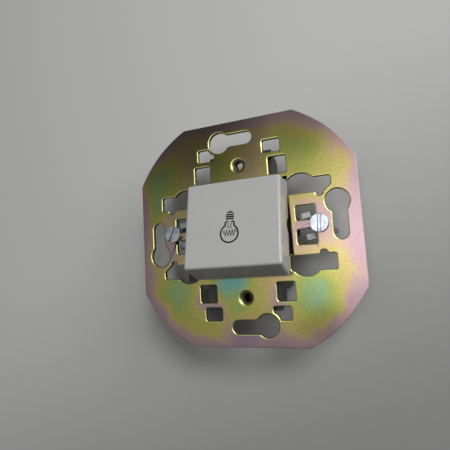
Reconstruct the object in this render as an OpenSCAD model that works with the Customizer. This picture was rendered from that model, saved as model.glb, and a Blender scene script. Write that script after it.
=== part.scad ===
// Push button light switch insert for a round flush box: a stamped support plate, a rocking key
// with a lamp pictogram, a contact block with two screw terminals and a pair of spreading claws.
// The origin is the centre of the plate's back face, which lies on the wall.
// +Z points out of the wall, +Y up and +X to the user's right. All sizes are millimetres.

/* [Support plate] */
// Width and height of the plate across its flats
plate_w = 72; // [70:0.5:76]
// Radius of the round corners about the plate's centre
plate_corner_r = 40.5; // [39.5:0.25:43]
// Thickness of the sheet
plate_t = 1.5; // [1.2:0.1:1.8]
// Distance between opposite box screws
box_screw_pitch = 60; // [59:0.25:61]
// Radius of a keyhole's round entry
keyhole_entry_r = 3.6; // [3.3:0.1:3.8]
// Width of a keyhole's slot
keyhole_slot_w = 4.3; // [3.8:0.1:4.6]
// Sideways distance from a keyhole's entry to the centre line
keyhole_entry_offset = 6.2; // [5.8:0.1:6.6]
// How much closer to the centre the entry sits than the slot
keyhole_entry_drop = 0.4; // [0:0.1:0.6]
// Distance from the centre line to the slot's far round end
keyhole_slot_reach = 3; // [2:0.25:4]
// Radius of the blend between entry and slot
keyhole_blend_r = 1.1; // [0.8:0.1:1.4]
// Distance between the two tapped cover screw holes
cover_screw_pitch = 42.2; // [41.6:0.1:43]
// Core radius of a tapped cover screw hole
cover_screw_r = 1.45; // [1.25:0.05:1.6]
// Outer radius of the collar drawn below a tapped hole
collar_r = 2.2; // [2.1:0.05:2.4]
// Depth of that collar below the sheet
collar_h = 1.8; // [1.2:0.1:2.2]

/* [Latch holes in the plate] */
// Width of all four pairs of latch holes
latch_w = 5.7; // [5:0.1:6]
// Height of the latch holes next to the key
near_latch_h = 5.8; // [5:0.1:6]
// Height of the outer latch holes
far_latch_h = 4.2; // [3.6:0.1:4.4]
// Sideways place of the holes next to the key
near_latch_x = 12.6; // [12.4:0.1:13]
// Height above centre of the holes next to the key
near_latch_y = 19.5; // [19.3:0.1:19.8]
// Sideways place of the outer holes
far_latch_x = 11.1; // [10.9:0.1:11.4]
// Height above centre of the outer holes
far_latch_y = 25.95; // [25.7:0.05:26.2]
// Corner radius of every punched rectangle
punch_r = 0.8; // [0.5:0.1:1]
// Web left between an outer hole and the keyhole beside it
keyhole_web = 0.8; // [0.6:0.1:1]

/* [Claw cut-outs in the plate] */
// Distance from the centre to the outer end of the cut-outs
cutout_reach = 28.2; // [27.8:0.1:28.4]
// Height of the straight part of a cut-out
cutout_h = 4.75; // [4.4:0.05:5]
// Half width of the tongue on the side with the slanted cut-out
tongue_half_a = 9.4; // [9.2:0.1:9.6]
// Half width of the tongue on the side with the square cut-out
tongue_half_b = 8.9; // [8.7:0.1:9.1]
// Radius of the bulge in each cut-out
bulge_r = 5.3; // [5:0.1:5.5]
// Distance of the bulge's centre from the plate's centre
bulge_x = 19.25; // [19:0.05:19.5]
// Radius of the small notch in each cut-out
notch_r = 1.2; // [1:0.1:1.3]
// Sideways place of the notch
notch_x = 24.65; // [24.4:0.05:24.9]

/* [Tongues that hold the housing] */
// Clearance from the key's side to the tongue's folded edge
tongue_gap = 0.2; // [0.2:0.05:0.5]
// Outside radius of the sharp fold
fold_r = 0.7; // [0.5:0.1:1]
// Depth of the folded flange behind the wall plane
flange_depth = 7.2; // [6.8:0.1:8]
// Width of a prong hole in the tongue
prong_hole_w = 6.1; // [5.9:0.1:6.2]
// Height of a prong hole in the tongue
prong_hole_h = 4.7; // [4.6:0.05:4.8]
// Distance from the claw's centre line to the middle of a prong hole
prong_y = 3.65; // [3.6:0.05:3.7]

/* [Key] */
// Width of the key at its rim
key_w = 30; // [29.6:0.1:30.2]
// Height of the key at its rim
key_l = 29.8; // [29.4:0.1:30]
// Width of the key's face
key_face_w = 29.8; // [29:0.1:29.9]
// Height of the key's face
key_face_l = 26.9; // [26.4:0.1:27.6]
// Height of the face above the pivot
key_rise = 8.5; // [8:0.1:9]
// Depth of the rim below the pivot
key_drop = 0.5; // [0.2:0.1:0.6]
// Thickness of the key's side walls
key_wall = 1.5; // [1.2:0.1:1.6]
// Thickness of the key's face
key_top_t = 1.6; // [1.3:0.1:1.8]
// Radius of the key's outer edges
key_edge_r = 0.9; // [0.6:0.1:1.1]
// Radius of the pry notches in the key's sides
pry_r = 2.3; // [1.8:0.1:2.6]
// Height of the pivot above the plate's front face
pivot_height = 1.65; // [1.5:0.05:1.9]
// Slope of the released key in degrees
rest_tilt = 12.25; // [12:0.25:12.5]
// Swing of the key from released to pressed in degrees
key_swing = 12; // [10:0.5:12]

/* [Lamp pictogram] */
// Outside radius of the drawn globe
globe_r = 2.95; // [2.6:0.05:3.2]
// Line width of the drawing
stroke = 0.48; // [0.4:0.02:0.55]
// Width of the drawn screw cap
cap_w = 2.45; // [2.2:0.05:2.6]
// Height of the drawing from globe to cap tip
lamp_h = 10.1; // [9.6:0.1:10.4]
// Sideways shift of the globe on the face
lamp_x = -0.45; // [-1:0.05:1]
// Height of the globe's centre on the face
lamp_y = -3.45; // [-4:0.05:-3]
// Turn of the drawing in degrees
lamp_turn = -2; // [-5:0.5:5]
// Thickness of the printed ink
ink_t = 0.05; // [0.04:0.01:0.08]

/* [Housing] */
// Width of the contact block
body_w = 20.8; // [20.4:0.1:21.2]
// Height of the contact block
body_l = 39; // [38.6:0.1:39.4]
// Depth of the contact block behind the wall plane
body_depth = 22; // [21.6:0.1:23]
// Half the distance across the block's cut corners
body_corner = 29.2; // [28.8:0.1:29.6]
// Height of the base from its back to the joint with the cover
base_h = 12; // [11.8:0.1:12.4]
// Thickness of the floor
floor_t = 1.5; // [1.3:0.1:1.6]
// Thickness of the end walls that the wires pass
end_wall = 1.6; // [1.4:0.1:1.8]
// Thickness of the walls between the chamber and the terminals
partition_t = 1.2; // [1:0.1:1.4]
// Width of the cover between the tongues
cover_w = 28.8; // [28.4:0.1:29]
// Height of the cover under the plate
cover_l = 29.8; // [29.4:0.1:30]
// Height of the cover's top above the wall plane
cover_top = 0.5; // [0.4:0.1:0.7]
// Distance from the centre to the ends of the cover's shoulders
shoulder_reach = 25.4; // [25:0.1:25.8]
// Half width of the shoulders
shoulder_x = 10.6; // [10.5:0.1:11]
// Reach of the lower shoulder to the left
shoulder_left = 13.7; // [13.5:0.1:13.9]
// Half width of the slot in a shoulder that a cover screw passes
shoulder_slot = 2.8; // [2.5:0.1:3.1]
// Radius of a wire entry
wire_r = 1.3; // [1.2:0.05:1.35]
// Distance between the two wire entries of a terminal
wire_pitch = 3.5; // [3.3:0.1:3.6]

/* [Contacts and springs] */
// Radius of the pivot pin
pin_r = 1.25; // [1.1:0.05:1.4]
// Radial running clearance of the pivot pin
pin_gap = 0.07; // [0.05:0.01:0.09]
// Radius of the plunger
plunger_r = 1.15; // [1.05:0.05:1.2]
// Distance of the plunger below the key's pivot, as a share of the chamber's half length
plunger_share = 0.265; // [0.26:0.005:0.28]
// Thickness of the contact lever
lever_t = 0.8; // [0.7:0.05:0.9]
// Width of the contact lever and the bus bars
lever_w = 5; // [4.6:0.1:5.2]
// Distance of the lever's ridge above the key's pivot, as a share of the chamber's half length
ridge_share = 0.305; // [0.285:0.005:0.325]
// Distance of the contacts below the key's pivot, as a share of the chamber's half length
contact_share = 0.765; // [0.745:0.005:0.785]
// Thickness of the bus bars
bar_t = 1; // [0.9:0.1:1.1]
// Outer radius of the key's return spring
return_spring_r = 2; // [1.8:0.05:2.05]
// Wire thickness of the springs
spring_wire = 0.5; // [0.4:0.05:0.6]

/* [Claws and screws] */
// Distance of the claw screws from the centre
claw_screw_x = 24.05; // [23.95:0.05:24.15]
// Sideways play of a claw screw in its hole
screw_play = 0.35; // [0.2:0.05:0.4]
// Radius of the claw screws' heads
claw_head_r = 2.75; // [2.6:0.05:2.9]
// Height of the claw screws' heads
claw_head_h = 1.6; // [1.4:0.1:1.8]
// Radius of the claw screws' shanks
claw_shank_r = 1.45; // [1.35:0.05:1.5]
// Thickness of the claws
claw_t = 1; // [0.9:0.05:1.1]
// Width of the claws
claw_w = 8.5; // [8.3:0.1:8.7]
// Slope of the released claws' upper half in degrees
claw_slope = 36; // [35:0.5:37]
// Depth of the claws' teeth behind the wall plane
claw_depth = 16.2; // [15.8:0.1:16.8]
// Length of the prongs' bent tips
prong_tip = 2.7; // [2.5:0.1:2.8]
// Turn of the loose right claw about its screw in degrees
claw_turn = 9; // [8:0.5:9.5]
// Travel of the claw nuts from loose to tight
claw_nut_travel = 4.5; // [3.5:0.25:4.5]
// Reach of the claws' teeth beyond the leg
tooth_reach = 1; // [0.7:0.1:1.2]
// Radius of the terminal screws
terminal_r = 1.5; // [1.35:0.05:1.5]
// Travel of the wire clamps from open to closed
clamp_travel = 1.6; // [1.2:0.1:1.6]
// Width of every screw slot
slot_w = 0.9; // [0.7:0.1:1]

/* [Hidden] */

// Facets of a round part and of a small blend inside a hull
round_fn = 64;
blend_fn = 32;
$fn = round_fn;
// Overlap that keeps joined shapes from meeting edge to edge
bite = 0.02;
// Gap between faces of different pieces that touch in use
touch = 0.04;
// Free gap around a moving piece
run_gap = 0.3;
// Gap between a fixed piece and its seat
seat_gap = 0.02;

// Support plate
slot_y = box_screw_pitch / 2;
entry_y = slot_y - keyhole_entry_drop;
opening_x = key_w / 2 + tongue_gap;
opening_top = key_l / 2 + tongue_gap;
opening_foot = key_l / 2 - 1.4;
web_x = 14.5;
foot_opening_x = web_x - 1.5;
fold_x = opening_x + fold_r;
prong_web = 1.25;
prong_hole_x = fold_x + prong_web + prong_hole_w / 2;
window_l = 6;
window_h = 3.2;
window_z = -flange_depth + 3.2;

// Housing
back_z = -body_depth;
split_z = back_z + base_h;
floor_z = back_z + floor_t;
end_y = body_l / 2;
cover_seat_z = -1;
cover_flange_t = 1.5;
clamp_l = 5.6;
shoulder_foot_y = end_y + 2.9;
shoulder_start_y = cover_l / 2 - 1;
collar_clear_y = cover_screw_pitch / 2 - collar_r - run_gap;
shoulder_bend_y = shoulder_reach - 1.2;
terminal_y = end_y - end_wall - run_gap - clamp_l / 2;
chamber_y = terminal_y - clamp_l / 2 - run_gap - partition_t;
chamber_x = 8;
ridge_y = ridge_share * chamber_y;
contact_y = contact_share * chamber_y;
plunger_y = plunger_share * chamber_y;
clamp_w = 8;
clamp_wall = 1;
clamp_nut_t = 1.2;
lug_x = 20.3;
lug_y = 15.5;
lug_l = 4.5;
lug_t = 2.6;
housing_screw_x = 7.2;
housing_screw_y = 12.9;
housing_screw_r = 1.1;
housing_screw_head = 2;
housing_screw_sink = 1.8;
housing_screw_l = 17;
pilot_top = back_z + housing_screw_l + 2;

// Key, in its own frame with the pivot at the origin and the face up
pivot_z = plate_t + pivot_height;
key_inside = key_rise - key_top_t;
carrier_t = 1.7;
carrier_l = 19;
carrier_foot = key_inside - carrier_t;
cheek_out = 11.6;
cheek_in = 10;
ear_in = cheek_out + run_gap;
deck_w = 2 * (foot_opening_x - 0.4);
deck_l = 24.4;
ear_out = key_w / 2 - key_wall - 0.4;
ear_r = 2.7;
cheek_r = 2.4;
pusher_r = 1;
pusher_z = 1;
pusher_y = -(plunger_y + 0.15);
pressed_tilt = rest_tilt - key_swing;
stop_y = carrier_l / 2 - 0.9;
stop_t = 1.2;
rest_stop_z = (cover_top + touch - pivot_z + stop_y * sin(rest_tilt)) / cos(rest_tilt);
press_stop_z = (cover_top + touch - pivot_z - stop_y * sin(pressed_tilt)) / cos(pressed_tilt);
hook_t = 1.2;
hook_x = 6.5;

// Contacts
bar_top = split_z - 4.6;
bar_z = bar_top - bar_t;
lever_z = split_z - 1.8;
lever_top = lever_z + lever_t;
ridge_r = 0.5;
ridge_z = lever_z - 0.1;
ridge_gap = 0.1;
contact_r = 0.133 * chamber_y;
contact_h = 0.7;
rivet_shank_r = 0.7;
pusher_drop = -pusher_y * (sin(rest_tilt) - sin(pressed_tilt))
    + pusher_z * (cos(rest_tilt) - cos(pressed_tilt));
lever_swing = atan(pusher_drop / (ridge_y + plunger_y));
contact_drop = (ridge_y + contact_y) * sin(lever_swing);
ridge_stem = 0.4;
fixed_contact_top = lever_z - contact_h - contact_drop - 0.07;
dome_h = 0.25;
plunger_top = pivot_z - pusher_y * sin(rest_tilt) + pusher_z * cos(rest_tilt) - pusher_r - touch;
plunger_foot = lever_top + touch;
lever_tail = 2.2;
contact_spring_y = -0.413 * chamber_y;
contact_spring_r = 0.138 * chamber_y;
cup_r = 1.9;
return_spring_y = -8.6;
return_pocket_z = -6;
return_spring_top = pivot_z + return_spring_seat() - 1;

// Claws, drawn on the right with the pivot where the prongs leave the plate
claw_pivot_x = prong_hole_x - 0.2;
claw_pivot_z = 0.2;
claw_hole_r = claw_shank_r + screw_play + 0.05;
prong_gap = 2.3;
prong_top = plate_t - 0.4;
nut_l = 8.4;
nut_h = 2.8;
nut_in = 2.4;
nut_out = 1.8;
claw_leg_x = claw_screw_x + nut_out + touch;
claw_bend_z = claw_pivot_z - (claw_leg_x - claw_pivot_x) / tan(claw_slope);
nut_top = claw_bend_z;
claw_screw_end = claw_depth + 0.4;
tooth_w = 1.7;
tooth_y = -1.9;
right_slot_turn = -3;
left_slot_turn = -28;
slot_depth = 0.9;
terminal_head_r = 2.2;
terminal_head_h = 1.2;
terminal_head_z = floor_z + 0.1;

// Height of the carrier's underside above the pivot, over the return spring, with the key released
function return_spring_seat() =
    (carrier_foot - return_spring_y * sin(rest_tilt)) / cos(rest_tilt);

// Height of a spring's wire above its lower end after a number of turns, with closed end turns
function coil_level(turn, turns, wire, rise) =
    turn < 1 ? 1.15 * wire * turn
    : turn > turns - 1 ? rise - 1.15 * wire * (turns - turn)
    : 1.15 * wire + (rise - 2.3 * wire) * (turn - 1) / (turns - 2);

// A flat plate with round corners, centred, standing on the XY plane
module rounded_plate(w, l, r, t) {
    translate([-w / 2 + r, -l / 2, 0]) cube([w - 2 * r, l, t]);
    translate([-w / 2, -l / 2 + r, 0]) cube([w, l - 2 * r, t]);
    for (sx = [-1, 1], sy = [-1, 1])
        translate([sx * (w / 2 - r), sy * (l / 2 - r), 0]) cylinder(r = r, h = t);
}

// A box given by its lowest and highest corners
module box(low, high) {
    translate(low) cube(high - low);
}

// A cylinder along X, centred on the YZ plane
module cross_cylinder(r, l) {
    rotate([0, 90, 0]) cylinder(r = r, h = l, center = true);
}

// The cut of a screwdriver slot across a head
module screw_slot(head_r, z0, z1) {
    box([-slot_w / 2, -2 * head_r, z0], [slot_w / 2, 2 * head_r, z1]);
}

// Places a shape of the key's own frame where the released key stands
module on_key() {
    translate([0, 0, pivot_z]) rotate([-rest_tilt, 0, 0]) children();
}

// Places a shape of the right side on the left, turned half round
module on_left() {
    rotate([0, 0, 180]) children();
}

// A round wire wound into a compression spring with closed ends, standing on the XY plane
module coil_spring(outer_r, wire, height, turns) {
    sides = 6;
    steps = 14;
    count = turns * steps;
    mean_r = outer_r - wire / 2;
    rise = height - wire;
    points = [for (i = [0:count], k = [0:sides - 1])
        let (a = 360 * i / steps, b = 360 * k / sides, r = mean_r + wire / 2 * cos(b))
        [r * cos(a), r * sin(a),
            coil_level(i / steps, turns, wire, rise) + wire / 2 * (1 + sin(b))]];
    quads = [for (i = [0:count - 1], k = [0:sides - 1])
        let (n = (k + 1) % sides)
        [i * sides + k, i * sides + n, (i + 1) * sides + n, (i + 1) * sides + k]];
    ends = [[for (k = [sides - 1:-1:0]) k], [for (k = [0:sides - 1]) count * sides + k]];
    polyhedron(points = points, faces = concat(quads, ends), convexity = 10);
}

// One keyhole for a box screw, cut through the plate at the top, with a smooth way into its slot
module keyhole() {
    translate([0, 0, -1]) linear_extrude(plate_t + 2)
        offset(r = -keyhole_blend_r) offset(r = keyhole_blend_r) {
            translate([-keyhole_entry_offset, entry_y]) circle(r = keyhole_entry_r);
            translate([-keyhole_entry_offset, slot_y - keyhole_slot_w / 2])
                square([keyhole_entry_offset + keyhole_slot_reach, keyhole_slot_w]);
            translate([keyhole_slot_reach, slot_y]) circle(r = keyhole_slot_w / 2);
        }
}

// The four latch holes of one side of the plate, above the key
module latch_holes() {
    for (sx = [-1, 1]) {
        translate([sx * near_latch_x, near_latch_y, -1])
            rounded_plate(latch_w, near_latch_h, punch_r, plate_t + 2);
        difference() {
            translate([sx * far_latch_x, far_latch_y, -1])
                rounded_plate(latch_w, far_latch_h, punch_r, plate_t + 2);
            translate([-keyhole_entry_offset, entry_y, -2])
                cylinder(r = keyhole_entry_r + keyhole_web, h = plate_t + 4);
        }
    }
}

// A cut-out beside the right tongue. The slanted one has an outer corner left in the metal.
module claw_cutout(tongue_half, inner_x, slanted) {
    depth = plate_t + 2;
    length = cutout_reach - inner_x;
    translate([0, 0, -1]) {
        difference() {
            translate([inner_x + length / 2, tongue_half + cutout_h / 2, 0])
                rounded_plate(length, cutout_h, punch_r, depth);
            if (slanted)
                translate([0, 0, -1]) linear_extrude(depth + 2)
                    polygon([[notch_x + 1.1, tongue_half - 1], [notch_x + 1.1, tongue_half],
                        [cutout_reach + 0.5, tongue_half + 2.5],
                        [cutout_reach + 0.5, tongue_half - 1]]);
        }
        translate([notch_x, tongue_half + 0.1, 0]) cylinder(r = notch_r, h = depth);
        intersection() {
            translate([bulge_x, tongue_half + cutout_h + 1.7 - bulge_r, 0])
                cylinder(r = bulge_r, h = depth);
            translate([inner_x, tongue_half + 0.5, 0]) cube([length, bulge_r * 2, depth]);
        }
    }
}

// The edge of the right tongue, folded down along the housing, with its window
module folded_edge() {
    difference() {
        union() {
            translate([fold_x, 0, plate_t - fold_r]) intersection() {
                rotate([90, 0, 0]) cylinder(r = fold_r, h = 4 * tongue_half_a, center = true);
                box([-fold_r, -tongue_half_b, -bite], [bite, tongue_half_a, fold_r]);
            }
            box([opening_x, -tongue_half_b, -flange_depth],
                [opening_x + plate_t, tongue_half_a, plate_t - fold_r]);
        }
        box([opening_x - 1, -window_l / 2, window_z - window_h / 2],
            [opening_x + plate_t + 1, window_l / 2, window_z + window_h / 2]);
    }
}

// Everything that is cut on the right half of the plate
module right_cuts() {
    box([-bite, -tongue_half_b, -1], [fold_x, tongue_half_a, plate_t + 1]);
    claw_cutout(tongue_half_a, opening_x - 1, true);
    mirror([0, 1, 0]) claw_cutout(tongue_half_b, web_x, false);
    for (side = [-1, 1])
        translate([prong_hole_x, side * prong_y, -1])
            rounded_plate(prong_hole_w, prong_hole_h, punch_r, plate_t + 2);
    translate([claw_screw_x, -screw_play, -1]) cylinder(r = claw_hole_r, h = plate_t + 2);
}

module mounting_plate() {
    color("darkkhaki") {
        difference() {
            union() {
                intersection() {
                    box([-plate_w / 2, -plate_w / 2, 0], [plate_w / 2, plate_w / 2, plate_t]);
                    translate([0, 0, -1]) cylinder(r = plate_corner_r, h = plate_t + 2, $fn = 128);
                }
                for (side = [-1, 1])
                    translate([0, side * cover_screw_pitch / 2, -collar_h])
                        cylinder(r = collar_r, h = collar_h + bite);
            }
            for (turn = [0:90:270])
                rotate([0, 0, turn]) keyhole();
            for (turn = [0, 180])
                rotate([0, 0, turn]) {
                    latch_holes();
                    right_cuts();
                    translate([0, cover_screw_pitch / 2, -collar_h - 1])
                        cylinder(r = cover_screw_r, h = collar_h + plate_t + 2);
                    translate([0, cover_screw_pitch / 2, plate_t - 0.7])
                        cylinder(r1 = cover_screw_r, r2 = collar_r + 0.1, h = 0.7 + bite);
                }
            box([-opening_x, 0, -1], [opening_x, opening_top, plate_t + 1]);
            box([-foot_opening_x, -opening_foot, -1], [foot_opening_x, 0, plate_t + 1]);
        }
        folded_edge();
        on_left() folded_edge();
    }
}

// The key's outline as a block with round edges, its rim and its face moved in by one value each
module key_block(rim_inset, rim_z, face_z, r) {
    hull() {
        for (sx = [-1, 1], sy = [-1, 1]) {
            translate([sx * (key_w / 2 - rim_inset - r), sy * (key_l / 2 - rim_inset - r), rim_z])
                cylinder(r = r, h = 0.2, $fn = blend_fn);
            translate([sx * (key_face_w / 2 - rim_inset - r),
                sy * (key_face_l / 2 - rim_inset - r), face_z - r])
                sphere(r = r, $fn = blend_fn);
        }
    }
}

// A snap hook under the key's face, at the upper side
module key_hook() {
    y0 = carrier_l / 2 + 0.1;
    box([-2, y0, carrier_foot - 0.9], [2, y0 + hook_t, key_inside + bite]);
    box([-2, y0 - 0.7, carrier_foot - 0.9], [2, y0 + bite, carrier_foot - 0.1]);
}

module key_cap() {
    color("gainsboro") on_key() {
        difference() {
            key_block(0, -key_drop, key_rise, key_edge_r);
            key_block(key_wall, -key_drop - 1, key_inside, key_edge_r / 2);
            for (sx = [-1, 1])
                translate([sx * key_w / 2, 0, -key_drop - 0.3])
                    cross_cylinder(pry_r, 2 * key_wall + 1);
        }
        for (sx = [-1, 1], turn = [0, 180])
            rotate([0, 0, turn]) translate([sx * hook_x, 0, 0]) key_hook();
    }
}

// The drawn line between two points, with round ends
module stroke_line(a, b, w) {
    d = b - a;
    translate(a) rotate(atan2(d[1], d[0])) {
        translate([0, -w / 2]) square([norm(d), w]);
        circle(d = w, $fn = 16);
        translate([norm(d), 0]) circle(d = w, $fn = 16);
    }
}

// A lamp with its screw cap up, drawn from the middle of its globe
module lamp_drawing() {
    neck_x = 0.47 * globe_r;
    neck_y = sqrt(pow(globe_r - stroke / 2, 2) - neck_x * neck_x);
    fine = 0.4 * stroke;
    cone_y = lamp_h - globe_r - 0.9;
    difference() {
        circle(r = globe_r);
        circle(r = globe_r - stroke);
        translate([-neck_x, 0]) square([2 * neck_x, globe_r + 1]);
    }
    for (sx = [-1, 1]) {
        stroke_line([sx * neck_x, neck_y], [sx * (neck_x - 0.03), neck_y + 0.95], stroke);
        stroke_line([sx * (neck_x - 0.03), neck_y + 0.95],
            [sx * (neck_x - 0.5), neck_y + 1.4], stroke);
        stroke_line([sx * 0.5, neck_y + 1.3], [sx * 0.42, 1.8], fine);
        translate([sx * 0.42, 1.75]) circle(r = 0.2);
    }
    for (i = [0:2])
        translate([-cap_w / 2, cone_y - 2 + 0.63 * i]) square([cap_w, 0.46]);
    translate([0, cone_y])
        polygon([[-cap_w / 2, 0], [cap_w / 2, 0.05], [0.8, 0.38], [0.25, 0.48], [0, 0.9],
            [-0.3, 0.48], [-0.8, 0.35]]);
    stroke_line([-1.94, 0.14], [-1.67, 0.86], fine);
    for (i = [0:7]) {
        low = i % 2;
        stroke_line([0.43 * i - 1.67, low == 0 ? 0.86 + 0.045 * i : -0.75],
            [0.43 * (i + 1) - 1.67, low == 0 ? -0.75 : 0.86 + 0.045 * (i + 1)], fine);
    }
    stroke_line([1.77, 1.22], [2.15, 0.25], fine);
}

module lamp_symbol() {
    color("black") on_key()
        translate([lamp_x, lamp_y, key_rise]) rotate([0, 0, lamp_turn])
            linear_extrude(ink_t) lamp_drawing();
}

module key_carrier() {
    color("dimgray") on_key() {
        difference() {
            union() {
                box([-cheek_out, -carrier_l / 2, carrier_foot], [cheek_out, carrier_l / 2, key_inside]);
                for (sx = [-1, 1]) {
                    mid = sx * (cheek_out + cheek_in) / 2;
                    translate([mid, 0, 0]) cross_cylinder(cheek_r, cheek_out - cheek_in);
                    translate([mid, 0, carrier_foot / 2])
                        cube([cheek_out - cheek_in, 2 * cheek_r, carrier_foot + bite], center = true);
                    box([sx * hook_x - 2.5, stop_y - stop_t, rest_stop_z],
                        [sx * hook_x + 2.5, stop_y, carrier_foot + bite]);
                    box([sx * hook_x - 2.5, -stop_y, press_stop_z],
                        [sx * hook_x + 2.5, -stop_y + stop_t, carrier_foot + bite]);
                }
                translate([0, pusher_y, pusher_z]) cross_cylinder(pusher_r, 3);
                box([-1.5, pusher_y - pusher_r, pusher_z],
                    [1.5, pusher_y + pusher_r, carrier_foot + bite]);
            }
            cross_cylinder(pin_r + seat_gap, 4 * cheek_out);
        }
        rotate([-rest_tilt / 2, 0, 0]) translate([0, return_spring_y - 0.6, carrier_foot - 1.6])
            cylinder(r1 = 0.6, r2 = 0.8, h = 1.6 + 0.6);
    }
}

module pivot_pin() {
    color("silver") on_key() cross_cylinder(pin_r, 2 * ear_out - 0.2);
}

module return_spring() {
    color("lightsteelblue")
        translate([0, return_spring_y, return_pocket_z + seat_gap])
            coil_spring(return_spring_r, spring_wire, return_spring_top - return_pocket_z, 8);
}

module plunger() {
    color("ivory") {
        translate([0, -plunger_y, plunger_foot + plunger_r]) {
            sphere(r = plunger_r);
            cylinder(r = plunger_r, h = plunger_top - plunger_foot - plunger_r);
        }
        translate([0, -plunger_y, plunger_foot + plunger_r + 0.4]) cylinder(r = plunger_r + 0.7, h = 0.9);
    }
}

module contact_lever() {
    color("peru") difference() {
        box([-lever_w / 2, -contact_y - contact_r - 0.3, lever_z],
            [lever_w / 2, ridge_y + lever_tail, lever_top]);
        translate([0, ridge_y, ridge_z]) cross_cylinder(ridge_r + ridge_gap, 2 * lever_w);
        translate([0, -contact_y, lever_z - 1])
            cylinder(r = rivet_shank_r + seat_gap, h = lever_t + 2);
    }
}

module moving_contact() {
    color("silver") translate([0, -contact_y, 0]) {
        translate([0, 0, lever_z - contact_h]) cylinder(r = contact_r, h = contact_h);
        translate([0, 0, lever_z - bite]) cylinder(r = rivet_shank_r, h = lever_t + 2 * bite);
        translate([0, 0, lever_top]) cylinder(r = 1, h = 0.25);
    }
}

module fixed_contact() {
    cap_r = (contact_r * contact_r + dome_h * dome_h) / (2 * dome_h);
    color("silver") translate([0, -contact_y, 0]) {
        intersection() {
            translate([0, 0, bar_top]) cylinder(r = contact_r, h = fixed_contact_top - bar_top);
            translate([0, 0, fixed_contact_top - cap_r]) sphere(r = cap_r);
        }
        translate([0, 0, bar_z]) cylinder(r = rivet_shank_r, h = bar_t + bite);
    }
}

module fixed_terminal_bar() {
    color("goldenrod") difference() {
        box([-lever_w / 2, -terminal_y - clamp_l / 2 + 0.4, bar_z],
            [lever_w / 2, -contact_y + contact_r + 0.2, bar_top]);
        translate([0, -contact_y, bar_z - 1]) cylinder(r = rivet_shank_r + seat_gap, h = bar_t + 2);
    }
}

module common_terminal_bar() {
    color("goldenrod") {
        box([-lever_w / 2, ridge_y - ridge_stem, bar_z],
            [lever_w / 2, terminal_y + clamp_l / 2 - 0.4, bar_top]);
        box([-lever_w / 2, ridge_y - ridge_stem, bar_top - bite],
            [lever_w / 2, ridge_y + ridge_stem, ridge_z - 0.2]);
        translate([0, ridge_y, ridge_z]) cross_cylinder(ridge_r, lever_w);
    }
}

module contact_spring() {
    color("lightsteelblue")
        translate([0, contact_spring_y, floor_z + seat_gap])
            coil_spring(contact_spring_r, 0.7 * spring_wire, lever_z - floor_z - 2 * touch, 8);
}

// A block with its four upright corners cut at 45 degrees
module cut_corner_block(w, l, corner, z0, z1) {
    intersection() {
        box([-w / 2, -l / 2, z0], [w / 2, l / 2, z1]);
        rotate([0, 0, 45]) translate([0, 0, (z0 + z1) / 2])
            cube([corner * sqrt(2), corner * sqrt(2), z1 - z0 + 2], center = true);
    }
}

// An ear of the cover with the bore for the pivot pin
module ear() {
    box([ear_in, -ear_r, cover_seat_z - bite], [ear_out, ear_r, pivot_z]);
    translate([(ear_in + ear_out) / 2, 0, pivot_z]) cross_cylinder(ear_r, ear_out - ear_in);
}

// The outlines of the cover's two shoulders under the plate's latch holes, seen from the front
module shoulder_plan() {
    translate([-shoulder_x, shoulder_start_y])
        square([2 * shoulder_x, shoulder_reach - shoulder_start_y]);
    translate([-shoulder_left, -shoulder_reach])
        square([shoulder_left + shoulder_x, shoulder_reach - shoulder_start_y]);
}

// Shoulders that carry the plate and grow shorter with depth, each with room for a cover screw:
// the upper one is open at its foot, the lower one is a blind pocket
module shoulders() {
    foot_z = split_z + cover_flange_t - bite;
    difference() {
        intersection() {
            translate([0, 0, foot_z]) linear_extrude(cover_seat_z - foot_z) shoulder_plan();
            rotate([90, 0, 90]) linear_extrude(4 * shoulder_left, center = true)
                polygon([[-shoulder_foot_y, foot_z - 1], [shoulder_foot_y, foot_z - 1],
                    [shoulder_foot_y, foot_z], [shoulder_bend_y, foot_z / 2 - 1],
                    [shoulder_reach, cover_seat_z], [shoulder_reach, 1], [-shoulder_reach, 1],
                    [-shoulder_reach, cover_seat_z], [-shoulder_bend_y, foot_z / 2 - 1],
                    [-shoulder_foot_y, foot_z]]);
        }
        for (side = [-1, 1])
            translate([0, side * (end_y + shoulder_reach) / 2,
                side < 0 ? foot_z + cover_flange_t : foot_z - 1])
                linear_extrude(cover_seat_z - foot_z + 2)
                    square([2 * shoulder_slot, shoulder_reach - end_y + 2], center = true);
    }
}

// The nib of the cover that snaps into a tongue's window
module window_nib() {
    box([cover_w / 2 - bite, -window_l / 2 + 0.3, window_z - window_h / 2 + 0.3],
        [opening_x + plate_t + 0.5, window_l / 2 - 0.3, window_z + window_h / 2 - 0.3]);
}

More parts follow.
